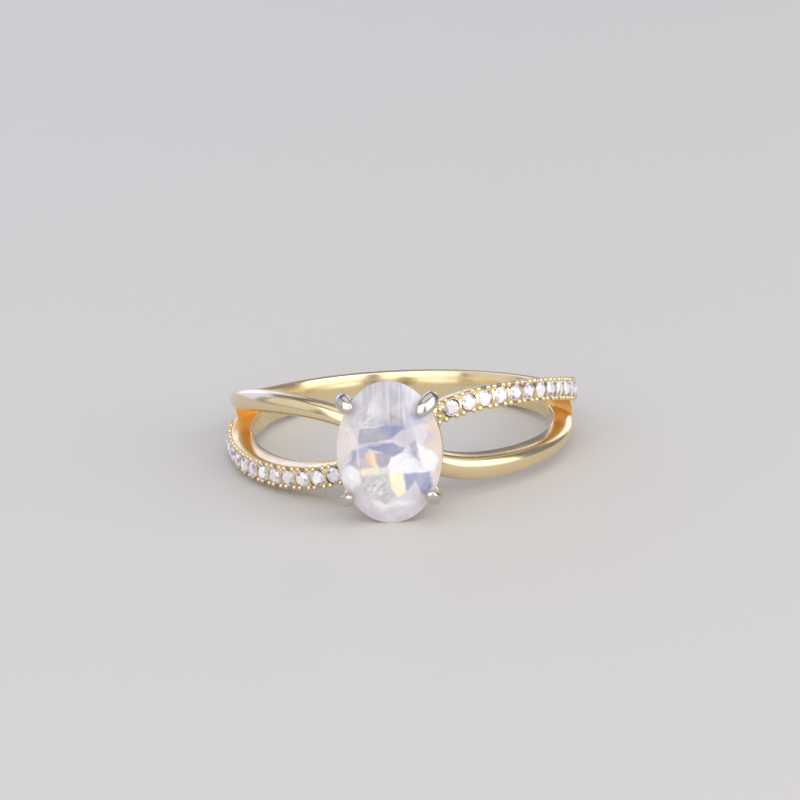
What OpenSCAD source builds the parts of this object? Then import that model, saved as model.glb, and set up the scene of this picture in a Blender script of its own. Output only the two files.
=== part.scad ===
// A bypass ring with an oval moonstone, lying on its side.
// The ring is modelled round its own axis, head towards -Y, and laid on the floor at the end.

/* [Band] */
// Inner diameter, a ring size 7
bore_d = 17.3; // [15:0.1:20]
// Thickness of the metal from the bore to the crown of the plain strand
band_t = 1.14; // [1.1:0.02:1.3]
// How much further out the top of the pave strand lies
pave_rise = 0.25; // [0.2:0.01:0.3]
// Width of the shank at the back
shank_w = 1.6; // [1.4:0.1:2.4]
// Width of the plain strand
plain_w = 1.1; // [1:0.05:1.3]
// Width of the pave strand
pave_w = 1.26; // [1.2:0.02:1.5]
// How far the plain strand's middle swings from the ring's plane
plain_swing = 1.94; // [1.8:0.02:2.2]
// How far the pave strand's middle swings from the ring's plane
pave_swing = 2.18; // [2:0.02:2.4]
// Angle from the head at which the strands swing widest
swing_angle = 38; // [36:1:46]
// Angle from the head at which the two strands meet again
crotch_angle = 103; // [98:1:112]

/* [Centre stone] */
// Width of the moonstone across the ring's front
stone_w = 5.8; // [5.6:0.05:6.2]
// Length of the moonstone
stone_l = 7.92; // [7.6:0.02:8.2]
// Distance of the girdle from the ring's axis
girdle_h = 12.4; // [12.2:0.1:12.8]
// Height of the crown over the girdle
crown_h = 0.95; // [0.7:0.05:1.1]
// Depth of the pavilion under the girdle
pavilion_h = 2.15; // [1.9:0.05:2.2]

/* [Accent stones] */
// Stones in each arm of the pave strand
accent_count = 13; // [8:1:13]
// Diameter of one accent stone
accent_d = 0.9; // [0.8:0.02:0.94]
// Angle from the head to the first accent stone
accent_start = 19.5; // [19:0.5:22]
// Angle from one accent stone to the next
accent_step = 5.9; // [5.7:0.1:6]

/* [Setting] */
// Thickness of a claw at the girdle
claw_d = 0.95; // [0.85:0.05:1.05]
// Width of the two oval rails
rail_w = 0.5; // [0.45:0.05:0.6]

/* [Hidden] */
bore_r = bore_d / 2;
outer_r = bore_r + band_t;
pave_top_r = outer_r + pave_rise;
// The strands' middles come back to this height at this angle
merge_height = 0.58;
merge_angle = 124;
// From here on both strands' outer edges run towards the shank's width at the back
narrow_angle = 60;
// The slit between the strands ends in a blunt wall that slants over this angle
crotch_run = 6;
crotch_share = 0.8;
// The plain strand passes this much lower under the head, as far as this angle
head_dip = 0.12;
dip_angle = 60;
// Its right arm is this much wider on both sides beside the head
head_flare = 0.16;
flare_angle = 75;
// Its left arm is this much wider on its outer side
arm_widening = 0.17;
// The band sags this much half way along its sides
side_sag = 0.14;
sag_angle = 50;
// The pave strand's end sinks into the shank and narrows from here on
sink_angle = 104;
sink_depth = 0.6;
sink_share = 0.65;
sink_height = 0.3;
// How far a strand's section starts inside the bore, which is cut out of it
buried = 0.3;
// The sections from the crown to the flat side: [place across, drop]
round_steps = [[0.3, 0.03], [0.68, 0.18], [0.94, 0.42], [1, 0.68]];
pave_steps = [[0.45, 0], [0.74, 0.1], [0.92, 0.32], [1, 0.58]];
ring_step = 5;
strand_power = 2.4;
// Air between a stone and its seat
gap = 0.03;
girdle_t = 0.14;
girdle_sides = 32;
// Shares of the girdle's radius at which the table, the star facets and the pavilion's lower facets end
table_r = 0.6;
star_r = 0.8;
keel_r = 0.5;
// Share of the girdle's radius at the middle of one of its sides
flat_r = cos(180 / girdle_sides);
accent_crown = 0.13;
accent_pavilion = 0.4;
accent_girdle = 0.03;
// Depth of an accent stone's girdle under the strand's top
accent_depth = 0.12;
seat_reach = 0.5;
claw_sides = 10;
claw_rise = 0.1;
// The two lower claws stand this much nearer the stone's middle, the two upper ones this much further out
claw_lift = 0.25;
claw_raise = 0.15;
claw_top = girdle_h + crown_h + claw_rise;
// Stations of a claw: [height, x, y, radius]
claw_stations = [
    [outer_r - 0.3, 1.25, 1.6, claw_d * 0.4],
    [outer_r + 0.7, 1.45, 1.85, claw_d * 0.4],
    [girdle_h - 0.8, 2.1, 2.46, claw_d * 0.44],
    [girdle_h - 0.1, 2.42, 2.76, claw_d * 0.48],
    [girdle_h + 0.35, 2.46, 2.8, claw_d * 0.5],
    [girdle_h + 0.75, 2.39, 2.74, claw_d * 0.48],
    [claw_top - 0.12, 2.32, 2.68, claw_d * 0.36],
    [claw_top, 2.29, 2.65, claw_d * 0.16]
];
// The base rail and the gallery rail: [half width, half length, low, high]
rails = [
    [1.75, 2.2, outer_r - 0.05, outer_r + 0.55],
    [2.93, 3.72, girdle_h - 0.95, girdle_h - 0.4]
];

// Which pieces there are
function two_digits(n) = n < 10 ? str("0", n) : str(n);

function side(a) = a < 0 ? -1 : 1;
function share(a, from, to) = max(0, min(1, (a - from) / (to - from)));
function eased(t) = (1 - cos(180 * t)) / 2;
function mix(a, b, t) = a + (b - a) * t;

// A strand leaves the ring's plane under the head, swings out and comes back to the shank
function swing_at(a, swing) =
    a < swing_angle
        ? swing * (1 - pow(1 - a / swing_angle, strand_power))
        : mix(swing, merge_height, eased(share(a, swing_angle, merge_angle)));

// Distance of the strands' edges from the ring's plane. The far edges become the shank's two edges.
function far_edge(a, swing, width) =
    mix(swing_at(a, swing) + width / 2, shank_w / 2, eased(share(a, narrow_angle, 180)));
function plain_far(a) = far_edge(a, plain_swing, plain_w);
function pave_far(a) = far_edge(a, pave_swing, pave_w);
function near_half(a) = plain_w / 2 * mix(1, crotch_share, share(a, narrow_angle, crotch_angle));
function plain_near(a) =
    mix(
        swing_at(a, plain_swing) - near_half(a),
        -pave_far(a),
        eased(share(a, crotch_angle, crotch_angle + crotch_run))
    );
function flare_at(a) = head_flare * share(a, 0, 10) * (1 - eased(share(a, 25, flare_angle)));
function widening_at(a) = arm_widening * eased(share(-a, 10, 60)) * (1 - eased(share(-a, 85, 125)));
function sag_at(a) = side_sag * (1 - cos(360 * share(abs(a), sag_angle, 180))) / 2;
function dip_at(a) = sag_at(a) + head_dip * (1 - eased(share(abs(a), 0, dip_angle)));

// Points of a section: [radius, place across from -1 to 1]
function profile(top, steps) =
    concat(
        [[bore_r - buried, -1]],
        [for (i = [len(steps) - 1:-1:0]) [top - steps[i][1], -steps[i][0]]],
        [for (s = steps) [top - s[1], s[0]]],
        [[bore_r - buried, 1]]
    );
// A strand leans outwards where it swings out, as if the ring were domed
pave_lean = 0.5;
function lean_at(middle, part) = atan2(middle, outer_r) * part;
function section(a, low, high, outline, part) =
    let (middle = (low + high) / 2, half = (high - low) / 2, lean = lean_at(middle, part))
        [
            for (p = outline)
                let (
                    out = p[0] - outer_r,
                    across = half * p[1],
                    r = outer_r + out * cos(lean) - across * sin(lean)
                )
                    [r * sin(a), -r * cos(a), middle + out * sin(lean) + across * cos(lean)]
        ];

// A skin over equal rings of points, closed into a loop or capped at both ends
module skin(rings, loop) {
    count = len(rings);
    size = len(rings[0]);
    spans = loop ? count : count - 1;
    walls = [
        for (i = [0:spans - 1], j = [0:size - 1])
            let (k = (i + 1) % count, n = (j + 1) % size)
                each [
                    [i * size + j, i * size + n, k * size + n],
                    [i * size + j, k * size + n, k * size + j]
                ]
    ];
    first_cap = [for (j = [size - 1:-1:0]) j];
    last_cap = [for (j = [0:size - 1]) (count - 1) * size + j];
    polyhedron(
        points = [for (r = rings) each r],
        faces = loop ? walls : concat(walls, [first_cap, last_cap])
    );
}

module plain_strand_and_shank() {
    skin(
        [
            for (a = [-180:ring_step:180 - ring_step])
                let (
                    far = -side(a) * (plain_far(abs(a)) + flare_at(a) + widening_at(a)),
                    near = -side(a) * (plain_near(abs(a)) - flare_at(a)),
                    dip = dip_at(a)
                )
                    section(a, min(far, near) - dip, max(far, near) - dip, profile(outer_r, round_steps), 1)
        ],
        true
    );
}

module pave_strand() {
    skin(
        [
            for (a = [-merge_angle:ring_step:merge_angle])
                let (
                    end = eased(share(abs(a), sink_angle, merge_angle)),
                    middle = side(a) * mix(swing_at(abs(a), pave_swing), sink_height, end) - sag_at(a),
                    half = pave_w / 2 * mix(1, sink_share, end),
                    top = pave_top_r - sink_depth * end
                )
                    section(a, middle - half, middle + half, profile(top, pave_steps), pave_lean)
        ],
        false
    );
}

// Where accent stone n of one arm sits: its turn round the ring and its height
function accent_angle(n) = accent_start + accent_step * (n - 1);
function accent_height(arm, n) = arm * swing_at(accent_angle(n), pave_swing) - sag_at(accent_angle(n));
module at_accent(arm, n) {
    height = accent_height(arm, n);
    rotate([0, 0, arm * accent_angle(n)])
        translate([0, -outer_r, height])
            rotate([90 - lean_at(height, pave_lean), 0, 0])
                translate([0, 0, pave_rise - accent_depth])
                    children();
}

// The drilled seat of an accent stone
module accent_seat() {
    r = accent_d / 2 + gap;
    rotate_extrude($fn = 32)
        polygon([
            [0, -accent_pavilion - 2 * gap],
            [r, -gap],
            [r, seat_reach],
            [0, seat_reach]
        ]);
}

// Points on a circle: [x, y, height], the first one turned by a share of a step
function around(r, h, count, turn) = [
    for (i = [0:count - 1])
        let (a = 360 * (i + turn) / count)
            [r * cos(a), r * sin(a), h]
];

module oval(half_w, half_l) {
    polygon([for (p = around(1, 0, girdle_sides, 0.5)) [half_w * p[0], half_l * p[1]]]);
}
module oval_rail(half_w, half_l, low, high) {
    translate([0, 0, low])
        linear_extrude(height = high - low)
            difference() {
                oval(half_w, half_l);
                oval(half_w - rail_w, half_l - rail_w);
            }
}

module claw() {
    skin(
        [
            for (s = claw_stations)
                [for (p = around(s[3], s[0], claw_sides, 0)) [s[1] + p[0], s[2] - p[1], p[2]]]
        ],
        false
    );
}

// The head is drawn standing up, its height being the distance from the ring's axis
module head() {
    rotate([90, 0, 0])
        children();
}

module setting() {
    for (r = rails)
        oval_rail(r[0], r[1], r[2], r[3]);
    for (x = [0, 1], y = [0, 1])
        translate([0, y == 1 ? claw_lift : claw_raise, 0])
            mirror([x, 0, 0])
                mirror([0, y, 0])
                    claw();
}

// A brilliant cut with eight mains on the crown and on the pavilion, stretched to an oval
module oval_stone(rx, ry, crown, girdle, pavilion) {
    star_share = (star_r * cos(22.5) - table_r) / (flat_r - table_r);
    keel_share = keel_r * cos(22.5) / flat_r;
    points = [
        for (p = concat(
            around(table_r, girdle / 2 + crown, 8, 0),
            around(star_r, girdle / 2 + crown * (1 - star_share), 8, 0.5),
            around(1, girdle / 2, girdle_sides, 0.5),
            around(1, -girdle / 2, girdle_sides, 0.5),
            around(keel_r, -girdle / 2 - pavilion * (1 - keel_share), 8, 0.5),
            [[0, 0, -girdle / 2 - pavilion]]
        ))
            [rx * p[0], ry * p[1], p[2]]
    ];
    star = 8;
    top = 16;
    low = top + girdle_sides;
    keel = low + girdle_sides;
    culet = keel + 8;
    // Each main ends in one side of the girdle, the other sides belong to the halves between the mains
    each_main = girdle_sides / 8;
    function rim(i) = (i + girdle_sides) % girdle_sides;
    polyhedron(
        points = points,
        faces = concat(
            [[for (i = [7:-1:0]) i]],
            [for (i = [0:7]) [i, (i + 1) % 8, star + i]],
            [
                for (i = [0:7])
                    [i, star + i, top + rim(i * each_main), top + rim(i * each_main - 1), star + (i + 7) % 8]
            ],
            [for (i = [0:7], k = [0:each_main - 2])
                [star + i, top + rim(i * each_main + k + 1), top + rim(i * each_main + k)]],
            [for (i = [0:girdle_sides - 1]) [top + i, top + rim(i + 1), low + rim(i + 1), low + i]],
            [for (i = [0:7], k = [0:each_main - 2])
                [keel + i, low + rim(i * each_main + k), low + rim(i * each_main + k + 1)]],
            [for (i = [0:7])
                [culet, keel + (i + 7) % 8, low + rim(i * each_main - 1), low + rim(i * each_main), keel + i]]
        )
    );
}
module oval_brilliant(grow) {
    oval_stone(
        rx = stone_w / 2 + grow,
        ry = stone_l / 2 + grow,
        crown = crown_h + grow,
        girdle = girdle_t + grow,
        pavilion = pavilion_h + grow
    );
}

module accent_stone() {
    r = accent_d / 2;
    sides = 8;
    rim = 2 * sides;
    low = sides + rim;
    culet = low + rim;
    polyhedron(
        points = concat(
            around(r * table_r, accent_crown + accent_girdle, sides, 0),
            around(r, accent_girdle, rim, 0),
            around(r, 0, rim, 0),
            [[0, 0, -accent_pavilion]]
        ),
        faces = concat(
            [[for (i = [sides - 1:-1:0]) i]],
            [for (i = [0:sides - 1]) [i, (i + 1) % sides, sides + 2 * i + 1]],
            [for (i = [0:sides - 1]) [i, sides + 2 * i + 1, sides + 2 * i]],
            [for (i = [0:sides - 1]) [i, sides + 2 * i, sides + (2 * i + rim - 1) % rim]],
            [for (i = [0:rim - 1]) [sides + i, sides + (i + 1) % rim, low + (i + 1) % rim, low + i]],
            [for (i = [0:rim - 1]) [culet, low + i, low + (i + 1) % rim]]
        )
    );
}

// The ring rests on the lower end of the moonstone's girdle and on the shank's back
stone_reach = stone_l / 2 * flat_r;
shank_crown = round_steps[0];
shank_reach = outer_r - round_steps[3][1];
pitch = atan2(stone_reach - shank_w / 2, girdle_h - girdle_t / 2 + shank_reach);
rest_drop = (girdle_h - girdle_t / 2) * sin(pitch) - stone_reach * cos(pitch);
// The floor's origin is half way between the foremost claw and the back of the shank
claw_tip = claw_stations[len(claw_stations) - 1];
front_reach = claw_tip[0] * cos(pitch) + (claw_tip[2] - claw_lift + claw_tip[3]) * sin(pitch);
back_reach = (outer_r - shank_crown[1]) * cos(pitch) + shank_crown[0] * shank_w / 2 * sin(pitch);
module laid() {
    translate([0, (front_reach - back_reach) / 2, -rest_drop])
        rotate([-pitch, 0, 0])
            children();
}

module band() {
    color("gold")
        laid()
            difference() {
                union() {
                    plain_strand_and_shank();
                    pave_strand();
                    head()
                        setting();
                }
                // The bore, with its seam at the back of the shank
                rotate([0, 0, 90])
                    cylinder(r = bore_r, h = 4 * pave_swing, center = true, $fn = 180);
                head()
                    translate([0, 0, girdle_h])
                        oval_brilliant(gap);
                for (arm = [-1, 1], n = [1:accent_count])
                    at_accent(arm, n)
                        accent_seat();
            }
}

module moonstone() {
    color("lavender")
        laid()
            head()
                translate([0, 0, girdle_h])
                    oval_brilliant(0);
}

module accent(arm, n) {
    color("white")
        laid()
            at_accent(arm, n)
                accent_stone();
}

band();
moonstone();
for (n = [1:accent_count]) {
    accent(-1, n);
    accent(1, n);
}
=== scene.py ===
import bmesh
import bpy
import math
import random

from mathutils import Matrix, Vector, noise


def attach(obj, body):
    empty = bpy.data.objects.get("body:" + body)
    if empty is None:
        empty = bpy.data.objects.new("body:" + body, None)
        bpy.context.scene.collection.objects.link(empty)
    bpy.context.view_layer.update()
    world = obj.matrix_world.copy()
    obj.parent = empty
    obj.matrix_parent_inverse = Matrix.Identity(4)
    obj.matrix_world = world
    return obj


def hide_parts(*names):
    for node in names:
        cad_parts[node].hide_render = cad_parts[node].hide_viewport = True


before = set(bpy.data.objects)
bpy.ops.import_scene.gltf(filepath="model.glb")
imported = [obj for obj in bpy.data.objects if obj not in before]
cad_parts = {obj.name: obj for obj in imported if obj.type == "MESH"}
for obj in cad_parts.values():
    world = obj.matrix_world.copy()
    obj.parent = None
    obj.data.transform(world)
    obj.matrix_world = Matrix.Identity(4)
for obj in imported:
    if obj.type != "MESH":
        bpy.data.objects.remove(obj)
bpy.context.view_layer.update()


# Camera. The ring lies on the end of its stone and on the back of its shank, so its own axis leans
# back by lie_angle. The camera looks at the stone from just above the ring's plane, a little from
# the right and slightly rolled. Lengths are in millimetres until a piece is finished.
mm = 0.001
lie_angle = math.radians(8.3345)
ring_middle = Vector((0, 1.9931, 2.1121))
laid = Matrix.Translation(ring_middle) @ Matrix.Rotation(-lie_angle, 4, "X")
to_metres = Matrix.Scale(mm, 4)
camera_rise = math.radians(10.2)
camera_side = math.radians(3.6)
camera_roll = math.radians(2.2)
camera_distance = 280
pixels_per_mm = 17.46
photo_width = 800
sensor_width = 36
# How far the ring's middle lies from the middle of the picture
ring_offset = (2 / pixels_per_mm, 11 / pixels_per_mm)

lean_back = laid.to_3x3()
to_camera = lean_back @ Vector(
    (
        math.sin(camera_side) * math.cos(camera_rise),
        -math.cos(camera_side) * math.cos(camera_rise),
        math.sin(camera_rise),
    )
)
level_right = lean_back @ Vector((math.cos(camera_side), math.sin(camera_side), 0))
level_up = to_camera.cross(level_right)
camera_right = level_right * math.cos(camera_roll) - level_up * math.sin(camera_roll)
camera_up = level_right * math.sin(camera_roll) + level_up * math.cos(camera_roll)
looked_at = ring_middle - camera_right * ring_offset[0] + camera_up * ring_offset[1]
camera_data = bpy.data.cameras.new("photo_camera")
camera_data.sensor_width = sensor_width
camera_data.lens = sensor_width * pixels_per_mm * camera_distance / photo_width
camera_data.clip_start = 0.01
camera_data.clip_end = 10
camera = bpy.data.objects.new("photo_camera", camera_data)
camera_place = (looked_at + to_camera * camera_distance) * mm
camera_turn = Matrix((camera_right, camera_up, to_camera)).transposed().to_4x4()
camera.matrix_world = Matrix.Translation(camera_place) @ camera_turn
bpy.context.scene.collection.objects.link(camera)
bpy.context.scene.camera = camera


# Shank and plain strand. One casting of silver with pale yellow gold plate, turned and filed to a
# rounded comfort section and polished to a mirror. The strand leaves the shank at the back, swings
# out beside the stone, dips under the head and swings out the other way.
bore_radius = 8.65
crown_radius = 9.79
shank_width = 1.6
plain_width = 1.1
pave_width = 1.26
# How far the strands' middles swing from the ring's plane. Angles are in degrees from the head.
plain_swing = 1.94
pave_swing = 2.18
swing_angle = 38
strand_power = 2.4
merge_angle = 124
merge_height = 0.58
# From here on both outer edges close in to the shank's width
narrow_angle = 60
# The slit between the strands ends in a wall that slants from the crown to the bore
crotch_at_crown = 96
crotch_at_bore = 107
crotch_run = 5
crotch_share = 0.8
# Near the slit's ends gold mirrors gold, and this deeper tone is painted in as a reflection
deep_from = 80
deep_fade = 8
end_wall_share = 0.9
# The plain strand passes lower under the head, and the whole band sags along its sides
head_dip = 0.12
dip_angle = 60
side_sag = 0.14
sag_angle = 50
# The plain strand's right arm is wider beside the head: in full, less, and gone from these angles on
head_flare = 0.16
flare_angles = (10, 25, 75)
# Its left arm is wider on its outer side: a little, in full, less, and gone from these angles on
arm_widening = 0.17
widening_angles = (10, 60, 85, 125)
# This much metal over the bore keeps its radius where the section leans, so the bore stays round
round_wall = 0.2


def share(a, start, end):
    return max(0.0, min(1.0, (a - start) / (end - start)))


def eased(t):
    return (1 - math.cos(math.pi * t)) / 2


def mix(a, b, t):
    return a + (b - a) * t


def swing_at(a, swing):
    if a < swing_angle:
        return swing * (1 - (1 - a / swing_angle) ** strand_power)
    return mix(swing, merge_height, eased(share(a, swing_angle, merge_angle)))


def sag_at(a):
    return side_sag * eased(2 * share(abs(a), sag_angle, 180))


def far_edge(turn, swing, width):
    """A strand's outer edge, which becomes an edge of the shank."""
    outermost = swing_at(turn, swing) + width / 2
    return mix(outermost, shank_width / 2, eased(share(turn, narrow_angle, 180)))


def crotch_at(radius):
    """Where the slit ends: in a wall that slants to the bore."""
    return mix(crotch_at_bore, crotch_at_crown, share(radius, bore_radius, crown_radius))


def plain_edges(a, radius):
    """Low and high edge of the plain strand, or of the shank."""
    turn = abs(a)
    side = -1 if a < 0 else 1
    crotch_angle = crotch_at(radius)
    near_half = plain_width / 2 * mix(1, crotch_share, share(turn, narrow_angle, crotch_angle))
    closing = share(turn, crotch_angle, crotch_angle + crotch_run)
    near = swing_at(turn, plain_swing) - near_half
    near = mix(near, -far_edge(turn, pave_swing, pave_width), closing)
    full, less, gone = flare_angles
    flare = head_flare * share(a, 0, full) * (1 - eased(share(a, less, gone)))
    start, full, less, gone = widening_angles
    widening = arm_widening * eased(share(-a, start, full)) * (1 - eased(share(-a, less, gone)))
    dip = sag_at(a) + head_dip * (1 - eased(share(turn, 0, dip_angle)))
    far = far_edge(turn, plain_swing, plain_width) + flare + widening
    edges = (-side * far - dip, -side * (near - flare) - dip)
    return min(edges), max(edges)


def on_band(a, radius, across, low, high, lean_share):
    """A point of a strand's section, at a radius and a place across from -1 to 1."""
    middle = (low + high) / 2
    half = (high - low) / 2
    lean = math.atan2(middle, crown_radius) * lean_share
    out = radius - crown_radius
    if radius < bore_radius + round_wall:
        r = radius
        z = middle + out * math.tan(lean) + half * across / math.cos(lean)
    else:
        r = max(crown_radius + out * math.cos(lean) - half * across * math.sin(lean), bore_radius)
        z = middle + out * math.sin(lean) + half * across * math.cos(lean)
    turn = math.radians(a)
    return Vector((r * math.sin(turn), -r * math.cos(turn), z))


def slit_reflection_and_dullness(turn):
    """How strongly the painted reflection of gold in gold, and the duller polish, lie on the slit's
    walls, from 0 to 1.
    """
    depth = share(turn, deep_from, deep_from + deep_fade)
    depth *= mix(1, end_wall_share, share(turn, crotch_at_crown - 1, crotch_at_crown + 1))
    return depth * (1 - share(turn, crotch_at_bore, crotch_at_bore + crotch_run))


def srgb(code):
    parts = [int(code[i : i + 2], 16) / 255 for i in (1, 3, 5)]
    return [c / 12.92 if c <= 0.04045 else ((c + 0.055) / 1.055) ** 2.4 for c in parts] + [1.0]


def add_node(material, kind, links={}, **settings):
    """One shader node: links maps an input to another node's output or to a plain value."""
    made = material.node_tree.nodes.new(kind)
    for name, value in settings.items():
        setattr(made, name, value)
    for name, value in links.items():
        if isinstance(value, bpy.types.NodeSocket):
            material.node_tree.links.new(value, made.inputs[name])
        else:
            made.inputs[name].default_value = value
    return made


def new_material(name):
    material = bpy.data.materials.new(name)
    material.use_nodes = True
    material.node_tree.nodes.clear()
    return material


def show(material, surface):
    output = add_node(material, "ShaderNodeOutputMaterial")
    material.node_tree.links.new(surface, output.inputs["Surface"])


def polished_metal(name, tone, worn_tone, roughness, slit_reflection_tone):
    """Polished plate: a mirror with the mop's faint swirl, less glossy here and there, and a painted
    reflection of gold in gold on the slit's walls.
    """
    material = new_material(name)
    place = add_node(material, "ShaderNodeTexCoord").outputs["Object"]
    # Polishing lines 0.1 mm apart, as the real ones are too fine to show, and clouds of 1.4 mm
    mop = add_node(material, "ShaderNodeTexNoise", {"Vector": place, "Scale": 9000.0, "Detail": 2.0})
    cloud = add_node(material, "ShaderNodeTexNoise", {"Vector": place, "Scale": 700.0, "Detail": 3.0})
    colour = add_node(
        material,
        "ShaderNodeMix",
        {0: cloud.outputs["Fac"], 6: srgb(tone), 7: srgb(worn_tone)},
        data_type="RGBA",
    )
    # Painted reflection: on the slit's walls the colour deepens to stand for gold mirroring gold
    slit = add_node(material, "ShaderNodeAttribute", attribute_name="slit_reflection_and_dullness")
    colour = add_node(
        material,
        "ShaderNodeMix",
        {0: slit.outputs["Fac"], 6: colour.outputs[2], 7: srgb(slit_reflection_tone)},
        data_type="RGBA",
    )
    gloss = add_node(
        material,
        "ShaderNodeMapRange",
        {
            "Value": cloud.outputs["Fac"],
            "From Min": 0.3,
            "From Max": 0.7,
            "To Min": roughness,
            "To Max": roughness * 1.8,
        },
    )
    # The mop doesn't reach into the slit's ends, so they stay less glossy
    duller = add_node(
        material,
        "ShaderNodeMath",
        {0: slit.outputs["Fac"], 1: 0.35, 2: gloss.outputs[0]},
        operation="MULTIPLY_ADD",
    )
    bump = add_node(
        material,
        "ShaderNodeBump",
        {"Height": mop.outputs["Fac"], "Strength": 0.05, "Distance": 0.00002},
    )
    metal = add_node(
        material,
        "ShaderNodeBsdfPrincipled",
        {
            "Base Color": colour.outputs[2],
            "Metallic": 1.0,
            "Roughness": duller.outputs[0],
            "Normal": bump.outputs["Normal"],
        },
    )
    show(material, metal.outputs[0])
    return material


def finished_piece(bm, name, materials, nodes, smooth_angle=35):
    """Lays down a piece that was built round the ring's own axis, and hands it to the frame."""
    bm.transform(to_metres @ laid)
    bmesh.ops.recalc_face_normals(bm, faces=bm.faces[:])
    mesh = bpy.data.meshes.new(name)
    bm.to_mesh(mesh)
    bm.free()
    for material in materials:
        mesh.materials.append(material)
    if smooth_angle:
        mesh.shade_smooth()
        mesh.set_sharp_from_angle(angle=math.radians(smooth_angle))
    piece = bpy.data.objects.new(name, mesh)
    bpy.context.scene.collection.objects.link(piece)
    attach(piece, "root")
    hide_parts(*nodes)
    return piece


# The last tone is a painted reflection of gold in gold, laid on the slit's walls
yellow_gold = polished_metal("polished_yellow_gold_plate", "#F4E3BC", "#ECD7AA", 0.15, "#FFD57E")

# The section: a round crown over flat sides, and a small round at the finger's edge, which is given
# as (height over the bore, place across)
finger_round = ((0, 0.86), (0.04, 0.96), (0.14, 1))
crown_rise = 0.73
crown_foot = crown_radius - crown_rise
crown_power = 2 / 2.6
crown_steps = 12
band_steps = 720
section = [(bore_radius + rise, -across) for rise, across in finger_round]
for step in range(-crown_steps, crown_steps + 1):
    tilt = math.radians(90 * step / crown_steps)
    across = math.copysign(abs(math.sin(tilt)) ** crown_power, step)
    section.append((crown_foot + crown_rise * math.cos(tilt) ** crown_power, across))
section += [(bore_radius + rise, across) for rise, across in reversed(finger_round)]
bm = bmesh.new()
corners = [bm.verts.new((radius, 0, across)) for radius, across in section]
for here, there in zip(corners, corners[1:] + corners[:1]):
    bm.edges.new((here, there))
bmesh.ops.spin(
    bm,
    geom=bm.verts[:] + bm.edges[:],
    cent=(0, 0, 0),
    axis=(0, 0, 1),
    angle=math.tau,
    steps=band_steps,
    use_merge=True,
)
# The slit's walls, with their painted reflection, are the flat side towards it and the half of the
# section that closes it
side_from = 0.98
end_wall_from = 0.4
end_wall_lead = 0.6
slit_layer = bm.verts.layers.float.new("slit_reflection_and_dullness")
for v in bm.verts:
    a = math.degrees(math.atan2(v.co.x, -v.co.y))
    radius = v.co.xy.length
    low, high = plain_edges(a, radius)
    end_wall = 0 < abs(a) - crotch_at(radius) + end_wall_lead < crotch_run
    towards_slit = v.co.z * a > 0
    if towards_slit and (abs(v.co.z) > side_from or end_wall and abs(v.co.z) > end_wall_from):
        v[slit_layer] = slit_reflection_and_dullness(abs(a))
    v.co = on_band(a, radius, v.co.z, low, high, 1)
finished_piece(bm, "shank_and_plain_strand", [yellow_gold], ["band"])


# Set strand. Cast with the shank and a little higher than the plain one, its low domed top drilled
# with a seat for every stone. Its ends sink into the shank behind the slit.
pave_top = crown_radius + 0.25
pave_lean = 0.5
pave_fall = 0.58
dome_power = 4
dome_round = 0.55
top_share = 0.88
sink_angle = 104
sink_depth = 0.6
sink_share = 0.65
sink_height = 0.3
stones_per_arm = 13
first_stone = 19.5
stone_step = 5.9
stone_diameter = 0.9
seat_gap = 0.015
# The seat's wall, as (share of its radius, depth)
seat_wall = ((0.98, 0.13), (0.96, 0.18), (0.55, 0.34), (0.02, 0.5))
touching = 0.001
mm_per_degree = math.radians(1) * pave_top
pitch = stone_step * mm_per_degree
top_half = pave_width / 2 * top_share


def domed(across):
    """How far the top has fallen at a place across, in millimetres."""
    return pave_fall * (1 - (1 - abs(across / (pave_width / 2)) ** dome_power) ** dome_round)


def on_set_strand(along, across, depth):
    """A point of the set strand, by how far along and across its top and how far under its crown."""
    a = along / mm_per_degree
    turn = abs(a)
    side = -1 if a < 0 else 1
    end = eased(share(turn, sink_angle, merge_angle))
    middle = side * mix(swing_at(turn, pave_swing), sink_height, end) - sag_at(a)
    half = pave_width / 2 * mix(1, sink_share, end)
    radius = max(pave_top - depth - sink_depth * end, bore_radius)
    return on_band(a, radius, across / (pave_width / 2), middle - half, middle + half, pave_lean)


def verts_of(parts):
    return [part for part in parts if isinstance(part, bmesh.types.BMVert)]


def edges_of(parts):
    return [part for part in parts if isinstance(part, bmesh.types.BMEdge)]


bm = bmesh.new()
# One cell of the top: a square with a round seat
cell = bmesh.ops.create_grid(bm, x_segments=8, y_segments=8, size=0.5)["verts"]
inner = [v for v in cell if abs(v.co.x) < 0.49 and abs(v.co.y) < 0.49]
bmesh.ops.delete(bm, geom=inner, context="VERTS")
bmesh.ops.scale(bm, vec=(pitch, 2 * top_half, 1), verts=bm.verts[:])
seat = bmesh.ops.create_circle(bm, segments=32, radius=stone_diameter / 2 + seat_gap)["verts"]
rim = [e for e in bm.edges if e.verts[0] in seat]
bmesh.ops.bridge_loops(bm, edges=bm.edges[:])
for v in bm.verts:
    v.co.z = -domed(v.co.y)
for narrowing, depth in seat_wall:
    pushed = bmesh.ops.extrude_edge_only(bm, edges=rim)["geom"]
    rim = edges_of(pushed)
    ring = verts_of(pushed)
    size = (stone_diameter / 2 + seat_gap) * narrowing
    for v in ring:
        height = min(-depth, v.co.z)
        v.co = v.co.xy.normalized().to_3d() * size
        v.co.z = height
bmesh.ops.pointmerge(bm, verts=ring, merge_co=(0, 0, -seat_wall[-1][1]))
one_cell = bm.verts[:] + bm.edges[:] + bm.faces[:]
first_along = first_stone * mm_per_degree
for arm in (-1, 1):
    for n in range(stones_per_arm):
        copied = verts_of(bmesh.ops.duplicate(bm, geom=one_cell)["geom"])
        bmesh.ops.translate(bm, vec=(arm * (first_along + n * pitch), 0, 0), verts=copied)
bmesh.ops.delete(bm, geom=one_cell, context="VERTS")
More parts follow.
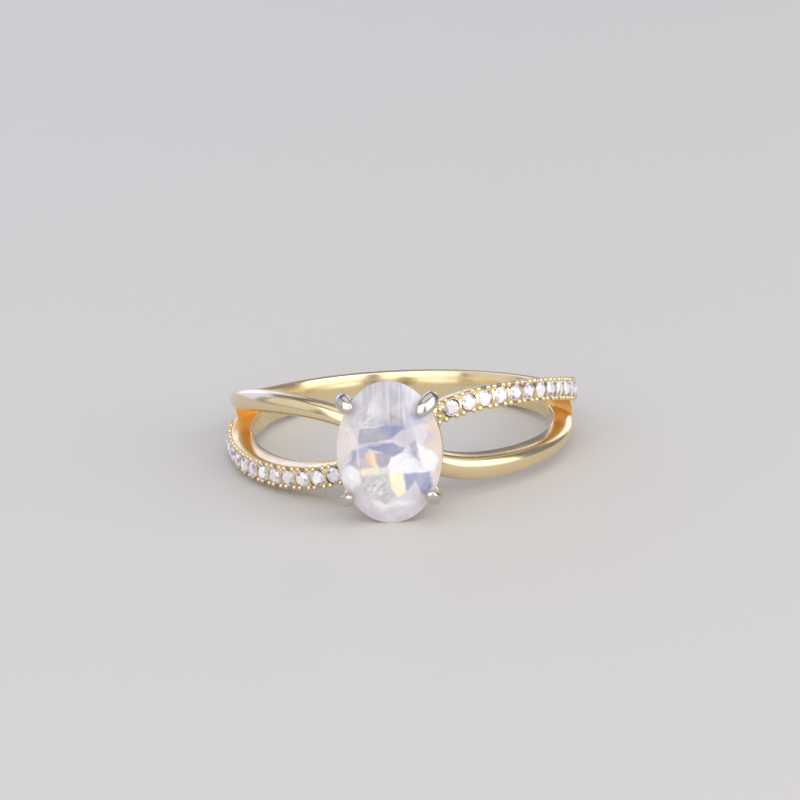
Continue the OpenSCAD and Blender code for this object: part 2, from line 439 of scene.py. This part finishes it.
# The plain stretches of the top: under the head and out to both ends
arm_start = first_along - pitch / 2
arm_end = first_along + (stones_per_arm - 0.5) * pitch
strand_end = merge_angle * mm_per_degree
for start, end in ((-strand_end, -arm_end), (-arm_start, arm_start), (arm_end, strand_end)):
    stretch = bmesh.ops.create_grid(bm, x_segments=30, y_segments=8, size=0.5)["verts"]
    bmesh.ops.scale(bm, vec=(end - start, 2 * top_half, 1), verts=stretch)
    bmesh.ops.translate(bm, vec=((start + end) / 2, 0, 0), verts=stretch)
    for v in stretch:
        v.co.z = -domed(v.co.y)
bmesh.ops.remove_doubles(bm, verts=bm.verts[:], dist=touching)
# The two sides, rounded over into the top, and the wall towards the finger
top_edge = top_half - touching
side_edges = [e for e in bm.edges if e.is_boundary and all(abs(v.co.y) > top_edge for v in e.verts)]
wall = pave_top - bore_radius
rounded_over = [(half, domed(half * pave_width / 2)) for half in (0.92, 0.955, 0.98, 0.995, 1)]
down_to_finger = [(half, wall - rise) for rise, half in reversed(finger_round)]
for half, depth in rounded_over + down_to_finger:
    pushed = bmesh.ops.extrude_edge_only(bm, edges=side_edges)["geom"]
    side_edges = edges_of(pushed)
    for v in verts_of(pushed):
        v.co.y = math.copysign(half * pave_width / 2, v.co.y)
        v.co.z = -depth
left_edges = [e for e in side_edges if e.verts[0].co.y < 0]
for v in verts_of(bmesh.ops.extrude_edge_only(bm, edges=left_edges)["geom"]):
    v.co.y = -v.co.y
bmesh.ops.remove_doubles(bm, verts=bm.verts[:], dist=touching)
bmesh.ops.holes_fill(bm, edges=[e for e in bm.edges if e.is_boundary], sides=0)
# The set strand's side towards the slit takes the same painted reflection of gold in gold
slit_layer = bm.verts.layers.float.new("slit_reflection_and_dullness")
for v in bm.verts:
    if v.co.y * v.co.x < 0:
        rounded = share(abs(v.co.y) / (pave_width / 2), 0.93, 0.99)
        v[slit_layer] = slit_reflection_and_dullness(abs(v.co.x) / mm_per_degree) * rounded
    v.co = on_set_strand(v.co.x, v.co.y, -v.co.z)
finished_piece(bm, "set_strand", [yellow_gold], ["band"])


# Grains. Small round beads of the same gold, raised from the strand's edges with a graver and
# pushed over the stones to hold them down. Two stand on each side of every gap between stones.
grain_radius = 0.165
grain_flatness = 0.8
grain_apart = 0.2
grain_out = 0.53
grain_depth = 0.16
# Where the strand starts under the basket it has no stone, only more grains: (along, across)
grains = [
    (2.42, 0.46),
    (2.4, 0.02),
    (2.44, -0.44),
    (2.72, 0.2),
    (2.7, -0.18),
    (2.12, 0.24),
    (2.14, -0.24),
]
# These stand on the middle of the top, which is higher than its edges
middle_reach = 0.3
middle_depth = 0.03
for n in range(stones_per_arm + 1):
    gap_at = first_along + (n - 0.5) * pitch
    for along in (gap_at - grain_apart, gap_at + grain_apart):
        grains += [(along, -grain_out), (along, grain_out)]
bm = bmesh.new()
for arm in (-1, 1):
    for along, across in grains:
        depth = grain_depth if abs(across) > middle_reach else middle_depth
        at = on_set_strand(arm * along, across, depth)
        outward = Vector((at.x, at.y, 0)).normalized()
        upright = outward.to_track_quat("Z", "Y").to_matrix().to_4x4()
        bmesh.ops.create_icosphere(
            bm,
            subdivisions=2,
            radius=grain_radius,
            matrix=Matrix.Translation(at) @ upright @ Matrix.Diagonal((1, 1, grain_flatness, 1)),
        )
finished_piece(bm, "grains", [yellow_gold], ["band"], 180)


# Basket rails. Two ovals bent from round wire of the same gold, the small one soldered on the band
# and the large one under the stone. They are built standing up, and turned to the ring's front.
rail_wire = 0.5
rail_sides = 16
rail_steps = 96
turning_radius = 3
girdle_height = 12.4
quarter_turn = Matrix.Rotation(math.radians(90), 4, "X")
rails = (
    # half width, half length, low, high
    (1.75, 2.2, crown_radius - 0.05, crown_radius + 0.55),
    (2.93, 3.72, girdle_height - 0.95, girdle_height - 0.4),
)
bm = bmesh.new()
for half_width, half_length, low, high in rails:
    wire = bmesh.ops.create_circle(bm, segments=rail_sides, radius=1, matrix=quarter_turn)["verts"]
    bmesh.ops.translate(bm, vec=(turning_radius, 0, 0), verts=wire)
    bmesh.ops.spin(
        bm,
        geom=wire + [e for e in bm.edges if e.verts[0] in wire],
        cent=(0, 0, 0),
        axis=(0, 0, 1),
        angle=math.tau,
        steps=rail_steps,
        use_merge=True,
    )
    # The turned ring becomes an oval, and the round wire gets the rail's own width and height
    for v in (v for v in bm.verts if not v.tag):
        v.tag = True
        turn = math.atan2(v.co.y, v.co.x)
        inward = (v.co.xy.length - turning_radius - 1) / 2 * rail_wire
        x = math.cos(turn) * (half_width + inward)
        y = math.sin(turn) * (half_length + inward)
        v.co = Vector((x, y, mix(low, high, (v.co.z + 1) / 2)))
bm.transform(quarter_turn)
finished_piece(bm, "basket_rails", [yellow_gold], ["band"])


# Claws. Four gold posts, soldered to both rails. They stand clear of the finger and lean outwards,
# and their tips are filed round, rubbed over the stone's edge and given a paler, whiter metal tone.
claw_sides = 20
claw_stations = (
    # height, x, y, radius
    (9.5, 1.25, 1.6, 0.38),
    (10.5, 1.45, 1.85, 0.38),
    (11.6, 2.1, 2.46, 0.41),
    (12.2, 2.4, 2.74, 0.44),
    (12.6, 2.47, 2.8, 0.46),
    (12.95, 2.44, 2.78, 0.48),
    (13.2, 2.36, 2.7, 0.45),
    (13.38, 2.28, 2.62, 0.33),
    (13.45, 2.24, 2.58, 0.14),
)
# How far the two claws at the stone's lower end and the two at its upper end stand further up
claw_lift = 0.25
claw_raise = 0.15
# Filed by hand, so no two are alike
claws_of_basket = (
    # side, end, thickness, how far the tip is bent over the stone
    (-1, 1, 0.97, 0.12),
    (1, 1, 1, 0.42),
    (-1, -1, 0.8, 0),
    (1, -1, 0.87, 0.04),
)
bent_from = 12.5
white_from = girdle_height + 0.1
# The tips above the girdle take this paler, whiter metal tone
pale_tip_metal = polished_metal("pale_claw_tip_metal", "#D6D0C9", "#C5BDB6", 0.14, "#D6D0C9")
bm = bmesh.new()
for x_side, y_side, plump, bend in claws_of_basket:
    ring = bmesh.ops.create_circle(bm, segments=claw_sides, radius=1)["verts"]
    rim = [e for e in bm.edges if e.verts[0] in ring]
    bmesh.ops.contextual_create(bm, geom=rim)
    middle = Vector((0, 0))
    radius = 1
    for n, (height, x, y, wide) in enumerate(claw_stations):
        if n:
            pushed = bmesh.ops.extrude_edge_only(bm, edges=rim)["geom"]
            rim = edges_of(pushed)
            ring = verts_of(pushed)
        bent = bend * share(height, bent_from, claw_stations[-1][0])
        further_up = claw_lift if y_side < 0 else claw_raise
        centre = Vector((x_side * (x - bent), y_side * (y - bent) + further_up))
        for v in ring:
            v.co = ((v.co.xy - middle) * wide * plump / radius + centre).to_3d()
            v.co.z = height
        middle = centre
        radius = wide * plump
    bmesh.ops.contextual_create(bm, geom=rim)
for f in bm.faces:
    f.material_index = 1 if f.calc_center_median().z > white_from else 0
bm.transform(quarter_turn)
claws = finished_piece(bm, "claws", [yellow_gold, pale_tip_metal], ["band"], 180)
rounding = claws.modifiers.new("rounding", "SUBSURF")
rounding.levels = 2
rounding.render_levels = 2


# Moonstone. A natural stone cut as an oval brilliant and polished. It is milky, with needle-like
# cracks near its upper end, a painted blue sheen from its fine layers, and painted patches where back
# facets mirror light.
stone_half_width = 2.9
stone_half_length = 3.96
crown_height = 0.95
pavilion_depth = 2.15
girdle_thick = 0.14
girdle_sides = 96
table_share = 0.62
star_share = 0.82
# From a main facet to the next half facet, and where the pavilion's lower facets end
between = 22.5
keel_share = 0.5
cut_reach = 0.0005


def cut_away(bm, a, b, c):
    """Cuts one facet as a lap does: all that lies outside the plane through three points goes."""
    normal = (b - a).cross(c - a).normalized()
    if normal.dot(a) < 0:
        normal.negate()
    cut = bmesh.ops.bisect_plane(
        bm,
        geom=bm.verts[:] + bm.edges[:] + bm.faces[:],
        plane_co=a,
        plane_no=normal,
        clear_outer=True,
        dist=cut_reach,
    )
    bmesh.ops.holes_fill(bm, edges=edges_of(cut["geom_cut"]), sides=0)


def polar(share_out, degrees, height):
    turn = math.radians(degrees)
    return Vector((math.cos(turn) * share_out, math.sin(turn) * share_out, height))


def brilliant(crown, pavilion, girdle, table, star, sides):
    """A round brilliant of radius 1 with eight mains, its girdle's middle at height 0."""
    bm = bmesh.new()
    bmesh.ops.create_cone(
        bm,
        cap_ends=True,
        segments=sides,
        radius1=1,
        radius2=1,
        depth=2 * (crown + pavilion + girdle),
    )
    top = girdle / 2 + crown
    cut_away(bm, polar(0, 0, top), polar(1, 0, top), polar(1, 90, top))
    fall = crown / (1 - table)
    star_height = top - fall * (star * math.cos(math.radians(between)) - table)
    deep = -girdle / 2 - pavilion
    keel_height = deep + pavilion * keel_share
    for main in range(0, 360, 45):
        star_tip = polar(star, main + between, star_height)
        keel_tip = polar(keel_share, main + between, keel_height)
        cut_away(bm, polar(table, main, top), polar(1, main, girdle / 2), star_tip)
        cut_away(bm, Vector((0, 0, deep)), polar(1, main, -girdle / 2), keel_tip)
        for start in (main, main + between):
            for tip, height in ((star_tip, girdle / 2), (keel_tip, -girdle / 2)):
                cut_away(bm, tip, polar(1, start, height), polar(1, start + between, height))
        cut_away(bm, polar(table, main, top), polar(table, main + 45, top), star_tip)
    bmesh.ops.remove_doubles(bm, verts=bm.verts[:], dist=touching)
    return bm


# Painted reflections inside the crown: patches with straight edges, painted where facets of the back
# mirror light, and the painted blue sheen. Each has a colour, a width over which its edge fades, and
# corners in millimetres across and up from the stone's middle. Later patches lie over earlier ones.
milk = "#DDD8E0"
painted_reflection_patches = (
    ("#B8B6BE", 0.3, ((-2.5, 1.45), (-2.3, 2.9), (-0.9, 4.2), (0.9, 4.2), (1.3, 2.9), (1.4, 1.45))),
    ("#D8D4DA", 0.4, ((-2.5, 1.6), (-2.3, 2.9), (-1.2, 3.9), (-1, 2.4), (-1.3, 1.6))),
    ("#DFDBE6", 0.12, ((0.8, 4.2), (1.4, 4.1), (2.6, 3.1), (2.7, 2.1), (2.1, 1.7),
                       (1.2, 2.3), (1, 3.2))),
    ("#EFE3DB", 0.25, ((-3, -0.9), (-3, 1.3), (-2.4, 2.3), (-2.05, 1.4), (-1.8, 0.7),
                       (-2.05, -0.1), (-2.4, -0.9))),
    ("#E4D1C2", 0.3, ((1.95, 1.6), (2.65, 2.2), (3, 0.7), (3, -1), (2.6, -2), (2.3, -0.9),
                      (2, 0.4))),
    ("#FFFDFF", 0.25, ((-2.8, -1.9), (-1.6, -1.5), (-0.9, -2.6), (0.9, -2.7), (1.9, -2.4),
                       (2.6, -2), (2.6, -4.3), (-2.6, -4.3))),
    ("#A3A0B1", 0.1, ((-1.55, 1.5), (-0.3, 1.65), (0.15, 0.85), (-0.8, 0.55), (-1.7, 0.6))),
    ("#8F94B6", 0.15, ((-0.5, 1.9), (0.7, 2), (1.35, 2.1), (0.8, 1.3), (0.2, 0.85), (-0.3, 1.3))),
    ("#8289B4", 0.12, ((-0.15, 1.7), (0.55, 1.6), (0.35, 1.1), (0.1, 0.95))),
    ("#B0A9AC", 0.08, ((0.05, 2.5), (0.85, 2.6), (0.8, 1.65), (0.05, 1.7))),
    ("#A39DA3", 0.1, ((0.1, 2.25), (0.6, 2.25), (0.6, 2), (0.1, 2))),
    ("#B6B9CF", 0.15, ((0.9, 2.3), (1.5, 2.3), (2.2, 1.7), (1.4, 1.5), (0.95, 1.45))),
    ("#CEC8D0", 0.06, ((0.2, 0.85), (0.85, 1.4), (1.4, 1.5), (2.2, 1.4), (2.5, 0.7),
                       (1.7, 0.4), (0.95, 0.45))),
    ("#A7A9C4", 0.14, ((-2.35, -0.6), (-2, 0.25), (-1.5, 0.5), (-0.95, 0.55),
                       (-1.3, -0.2), (-1.8, -0.65))),
    ("#868DB4", 0.08, ((-1.5, 0.45), (0.15, 0.72), (0.95, 0.4), (0.35, -0.2),
                       (-0.2, 0.05), (-0.95, 0.2))),
    ("#AAA3AC", 0.06, ((-1, 0.2), (0.15, 0.05), (0.05, -0.5), (-0.5, -0.7))),
    ("#C3B7BC", 0.1, ((-1.8, -0.15), (-1.25, -0.05), (-0.7, -0.7), (-1.5, -0.85), (-1.95, -0.5))),
    ("#F0C998", 0.08, ((-1.3, 0.07), (-0.85, 0.2), (-0.57, -0.65), (-1, -0.5))),
    ("#F3DFC4", 0.14, ((-1, 0.14), (-0.85, 0.2), (-0.57, -0.65), (-0.8, -0.58))),
    ("#FBFAFC", 0.12, ((-2.6, -0.95), (-2.15, -0.5), (-1.65, -0.8), (-1.55, -1.5),
                       (-2.1, -1.95), (-2.7, -1.5))),
    ("#F2E8C9", 0.1, ((-1.6, -0.7), (-0.55, -0.65), (-0.6, -1.05), (-1.5, -1.1))),
    ("#C6C2C4", 0.12, ((-1.55, -1.15), (0.05, -0.9), (0.4, -2.3), (-0.3, -2.7),
                       (-0.95, -2.2), (-1.4, -1.6))),
    ("#FBF4D0", 0.06, ((-0.02, -0.95), (0.8, -0.95), (0.85, -2.1), (0.4, -2.35), (0.1, -1.8))),
    ("#F1F1F8", 0.06, ((-0.05, -0.6), (0.15, -0.1), (0.85, 0.2), (1.15, 0.05),
                       (1.9, -0.95), (0.85, -0.95), (0.1, -0.95))),
    ("#A5A7BA", 0.05, ((1, 0.45), (1.5, 0.85), (1.8, 0.05), (2, -0.45), (1.4, -0.15))),
    ("#F6F3F6", 0.1, ((1.6, 0.55), (2.35, 0.15), (2.75, -0.5), (2.4, -1.05),
                      (1.95, -0.85), (1.65, -0.1))),
    ("#9A9FBE", 0.07, ((0.85, -1.02), (2.2, -1), (2.35, -1.9), (1.85, -2.45),
                       (1.15, -2.05), (0.85, -2.2))),
    ("#979DC4", 0.12, ((1.4, -1.5), (2.3, -1.4), (2.25, -1.95), (1.85, -2.4), (1.45, -1.95))),
    ("#D9D4DF", 0.06, ((0.85, -2.25), (1.4, -1.4), (1.6, -2.1), (1.3, -2.6))),
)
# Painted highlights: fine bright lines where facets meet, given as ends, then width
painted_highlight_lines = (
    (-2.25, 1.55, -1.7, 0.8, 0.07),
    (-1.75, 0.62, 0.15, 0.82, 0.07),
    (-2.2, 1.4, -0.15, 1.75, 0.07),
    (-1.7, 0.8, -1.65, -0.6, 0.06),
    (1.05, 0.5, 1.95, -0.95, 0.09),
    (1.65, 0.65, 2.15, -0.6, 0.07),
    (0.15, -0.15, 0.85, -0.95, 0.07),
    (0.85, -0.98, 2.2, -0.95, 0.07),
    (-2.3, -0.4, -1.95, 0.05, 0.07),
)
highlight_line_tone = "#FDFCFF"
highlight_line_strength = 0.5
# The needles lie above this height, and no further out to the sides than this
needle_bottom = 1.5
needle_sides = 1.6
needle_strength = 0.4
fleck_spots = (
    # across, up, how far they reach, and how strong they are
    (-0.65, -1.75, 1.1, 0.34),
    (-1.1, 2, 0.9, 0.24),
    (1.1, 0, 1, 0.16),
    (1.5, -1.7, 0.8, 0.14),
)
grid_step = 0.06
grid_reach = 0.0001
# The painted reflections stand for back facets seen through milky stone, so the patches' edges are
# softer than they were set out, and wander by this many millimetres
softening = 1.5
wander = 0.08
wander_length = 0.4
noise.seed_set(7)


def covered(point, corners, fade):
    """How much of a patch with straight edges lies over a point, from 0 to 1."""
    middle = sum(corners, Vector((0, 0))) / len(corners)
    inside = fade
    for here, there in zip(corners, corners[1:] + corners[:1]):
        across = (there - here).orthogonal().normalized()
        if across.dot(middle - here) < 0:
            across.negate()
        inside = min(inside, across.dot(point - here))
    return share(inside, -fade / 2, fade / 2)


def near_line(point, start, end, width):
    along = max(0, min(1, (point - start).dot(end - start) / (end - start).length_squared))
    return 1 - share((point - start.lerp(end, along)).length, 0, width)


def milky_moonstone():
    """Polished moonstone: milky, with painted patches of reflection and sheen, pale flecks, and long
    thin needles near one end.
    """
    material = new_material("polished_faceted_moonstone")
    place = add_node(material, "ShaderNodeTexCoord").outputs["Object"]
    painted_reflections = add_node(material, "ShaderNodeAttribute", attribute_name="painted_inner_reflections")
    needles_here = add_node(material, "ShaderNodeAttribute", attribute_name="needles_here")
    flecks_here = add_node(material, "ShaderNodeAttribute", attribute_name="flecks_here")
    # Needles 0.2 mm wide and many times as long, slanting flecks of about 0.2 by 0.5 mm, and clouds
    # of a millimetre. The real needles and flecks are finer.
    upright = add_node(material, "ShaderNodeMapping", {"Vector": place, "Scale": (1, 0.05, 0.05)})
    slanting = add_node(
        material,
        "ShaderNodeMapping",
        {"Vector": place, "Rotation": (0, math.radians(50), 0), "Scale": (1, 3, 3)},
        vector_type="TEXTURE",
    )
    needles = add_node(
        material,
        "ShaderNodeTexNoise",
        {"Vector": upright.outputs[0], "Scale": 4200.0, "Detail": 4.0, "Roughness": 0.6},
    )
    flecks = add_node(
        material,
        "ShaderNodeTexNoise",
        {"Vector": slanting.outputs[0], "Scale": 6000.0, "Detail": 2.0, "Roughness": 0.6},
    )
    clouds = add_node(
        material,
        "ShaderNodeTexNoise",
        {"Vector": place, "Scale": 1100.0, "Detail": 3.0, "Roughness": 0.6},
    )
    colour = painted_reflections.outputs["Color"]
    for pattern, here, low, high, dark, light in (
        (clouds, 0.14, 0.35, 0.65, "#A9A6B8", "#FFFDF8"),
        (needles, needles_here.outputs["Fac"], 0.36, 0.64, "#A19EA9", "#EDEAF0"),
        (flecks, flecks_here.outputs["Fac"], 0.38, 0.62, "#8E8A92", "#FFFCF4"),
    ):
        streak = add_node(
            material,
            "ShaderNodeMapRange",
            {"Value": pattern.outputs["Fac"], "From Min": low, "From Max": high},
        )
        tone = add_node(
            material,
            "ShaderNodeMix",
            {0: streak.outputs[0], 6: srgb(dark), 7: srgb(light)},
            data_type="RGBA",
        )
        blended = add_node(
            material,
            "ShaderNodeMix",
            {0: here, 6: colour, 7: tone.outputs[2]},
            data_type="RGBA",
        )
        colour = blended.outputs[2]
    stone = add_node(
        material,
        "ShaderNodeBsdfPrincipled",
        {
            "Base Color": colour,
            "Roughness": 0.06,
            "IOR": 1.53,
            "Subsurface Weight": 0.12,
            "Subsurface Radius": (0.8, 0.9, 1.0),
            "Subsurface Scale": 0.0002,
        },
    )
    show(material, stone.outputs[0])
    return material


bm = brilliant(crown_height, pavilion_depth, girdle_thick, table_share, star_share, girdle_sides)
bm.transform(Matrix.Diagonal((stone_half_width, stone_half_length, 1, 1)))
# A fine grid over the crown carries the painted reflection patches, so its facets stay flat
for reach, axis in ((stone_half_width, Vector((1, 0, 0))), (stone_half_length, Vector((0, 1, 0)))):
    for n in range(1, int(2 * reach / grid_step)):
        crown = [f for f in bm.faces if f.calc_center_median().z > 0]
        around = dict.fromkeys(part for f in crown for part in (*f.verts, *f.edges))
        bmesh.ops.bisect_plane(
            bm,
            geom=crown + list(around),
            plane_co=axis * (n * grid_step - reach),
            plane_no=axis,
            dist=grid_reach,
        )
painted_reflection_layer = bm.verts.layers.float_color.new("painted_inner_reflections")
needle_layer = bm.verts.layers.float.new("needles_here")
fleck_layer = bm.verts.layers.float.new("flecks_here")
patches = [
    (Vector(srgb(tone)), fade * softening, [Vector(corner) for corner in corners])
    for tone, fade, corners in painted_reflection_patches
]
lines = [(Vector(line[:2]), Vector(line[2:4]), line[4]) for line in painted_highlight_lines]
milk_colour = Vector(srgb(milk))
highlight_line_colour = Vector(srgb(highlight_line_tone))
for v in bm.verts:
    point = v.co.xy + noise.noise_vector(v.co / wander_length).xy * wander
    colour = milk_colour
    if v.co.z > 0:
        # Painted reflections and blue sheen of the back facets, one patch over another
        for tone, fade, corners in patches:
            colour = colour.lerp(tone, covered(point, corners, fade))
        # Painted highlight lines where facets meet
        for start, end, width in lines:
            colour = colour.lerp(highlight_line_colour, highlight_line_strength * near_line(point, start, end, width))
        upper = share(point.y, needle_bottom, needle_bottom + 0.6)
        upper *= 1 - share(abs(point.x), needle_sides - 0.4, needle_sides)
        v[needle_layer] = needle_strength * upper
        for across, up, reach, strength in fleck_spots:
            near = 1 - share((point - Vector((across, up))).length, reach * 0.3, reach)
            v[fleck_layer] = max(v[fleck_layer], strength * near)
    v[painted_reflection_layer] = colour
bm.transform(quarter_turn @ Matrix.Translation((0, 0, girdle_height)))
finished_piece(bm, "faceted_moonstone", [milky_moonstone()], ["moonstone"], 0)


# Accent stones. Round cubic zirconia, machine cut as small brilliants and clear. Each facet is
# painted light or dark, for the light or the dark of another facet that it shows. Each stone is
# turned at random in its seat.
clear_zirconia = new_material("clear_cubic_zirconia")
painted_facet_light = add_node(clear_zirconia, "ShaderNodeAttribute", attribute_name="painted_facet_light")
zirconia = add_node(
    clear_zirconia,
    "ShaderNodeBsdfPrincipled",
    {"Base Color": painted_facet_light.outputs["Color"], "Roughness": 0.03, "IOR": 2.15},
)
show(clear_zirconia, zirconia.outputs[0])
painted_facet_tones = ("#FFFFFF", "#F1ECF2", "#E6E0E8", "#D6CFDA", "#C4BCC8", "#9890A0")
accent_crown = 0.13
accent_pavilion = 0.4
accent_girdle = 0.03
accent_table = 0.56
accent_star = 0.8
accent_sides = 32
girdle_depth = 0.085
# A facet with a larger area than this, in square metres, is a stone's table
table_area = 0.0000001
spark = random.Random(7)
one_accent = brilliant(
    accent_crown, accent_pavilion, accent_girdle, accent_table, accent_star, accent_sides
)
one_accent.transform(Matrix.Diagonal((stone_diameter / 2, stone_diameter / 2, 1, 1)))
accent_mesh = bpy.data.meshes.new("one_accent")
one_accent.to_mesh(accent_mesh)
one_accent.free()
bm = bmesh.new()
nodes = []
for arm, word in ((-1, "left"), (1, "right")):
    for n in range(stones_per_arm):
        nodes.append(f"accent_{word}_{n + 1:02d}")
        along = arm * (first_along + n * pitch)
        at = on_set_strand(along, 0, girdle_depth - accent_girdle / 2)
        outward = (on_set_strand(along, 0, 0) - on_set_strand(along, 0, 0.5)).normalized()
        upright = outward.to_track_quat("Z", "Y").to_matrix().to_4x4()
        earlier = len(bm.verts)
        bm.from_mesh(accent_mesh)
        fresh = bm.verts[:][earlier:]
        turned = Matrix.Translation(at) @ upright @ Matrix.Rotation(spark.uniform(0, 0.8), 4, "Z")
        bmesh.ops.transform(bm, matrix=turned, verts=fresh)
accents = finished_piece(bm, "accent_stones", [clear_zirconia], nodes, 0)
tones = accents.data.color_attributes.new("painted_facet_light", "FLOAT_COLOR", "CORNER")
for face in accents.data.polygons:
    # Painted highlight: a table faces the light, so it takes one of the light tones
    tone = srgb(spark.choice(painted_facet_tones[:3] if face.area > table_area else painted_facet_tones))
    for corner in face.loop_indices:
        tones.data[corner].color = tone


# Floor and light: a plain pale floor, four very large soft boxes in front and above, and three
# small cool ones low behind, which the upper side walls of the strands mirror as a lilac line.
floor_tone = new_material("pale_floor")
matt = add_node(
    floor_tone,
    "ShaderNodeBsdfPrincipled",
    {"Base Color": srgb("#D9D6D2"), "Roughness": 0.7},
)
show(floor_tone, matt.outputs[0])
floor_reach = 2
bm = bmesh.new()
bmesh.ops.create_grid(bm, x_segments=1, y_segments=1, size=floor_reach)
floor_mesh = bpy.data.meshes.new("floor")
bm.to_mesh(floor_mesh)
bm.free()
floor_mesh.materials.append(floor_tone)
floor = bpy.data.objects.new("floor", floor_mesh)
bpy.context.scene.collection.objects.link(floor)

soft_boxes = (
    # name, place and size in metres, watts, colour
    ("front", (-0.1, -0.45, 0.23), 0.6, 1.9, (1.0, 0.98, 0.95)),
    ("above", (0.05, 0.05, 0.6), 0.6, 0.9, (1.0, 0.98, 0.96)),
    ("right", (0.44, -0.24, 0.24), 0.55, 1.8, (1.0, 0.98, 0.94)),
    ("left", (-0.48, -0.1, 0.26), 0.5, 0.45, (1.0, 0.98, 0.95)),
    ("left_behind", (-0.3, 0.26, 0.1), 0.3, 0.35, (0.5, 0.58, 1.0)),
    ("right_behind", (0.17, 0.42, 0.13), 0.24, 0.24, (0.88, 0.85, 1.0)),
    ("behind", (-0.15, 0.42, 0.12), 0.24, 0.22, (0.74, 0.76, 1.0)),
)
for name, place, size, watts, colour in soft_boxes:
    light = bpy.data.lights.new(name, "AREA")
    light.shape = "SQUARE"
    light.size = size
    light.energy = watts
    light.color = colour
    lamp = bpy.data.objects.new(name, light)
    lamp.location = place
    lamp.rotation_euler = (-Vector(place)).to_track_quat("-Z", "Y").to_euler()
    bpy.context.scene.collection.objects.link(lamp)

world = bpy.data.worlds.new("studio")
world.use_nodes = True
dim_room = world.node_tree.nodes["Background"]
dim_room.inputs["Color"].default_value = (0.5, 0.52, 0.6, 1)
dim_room.inputs["Strength"].default_value = 0.45
bpy.context.scene.world = world
bpy.context.scene.view_settings.view_transform = "Standard"
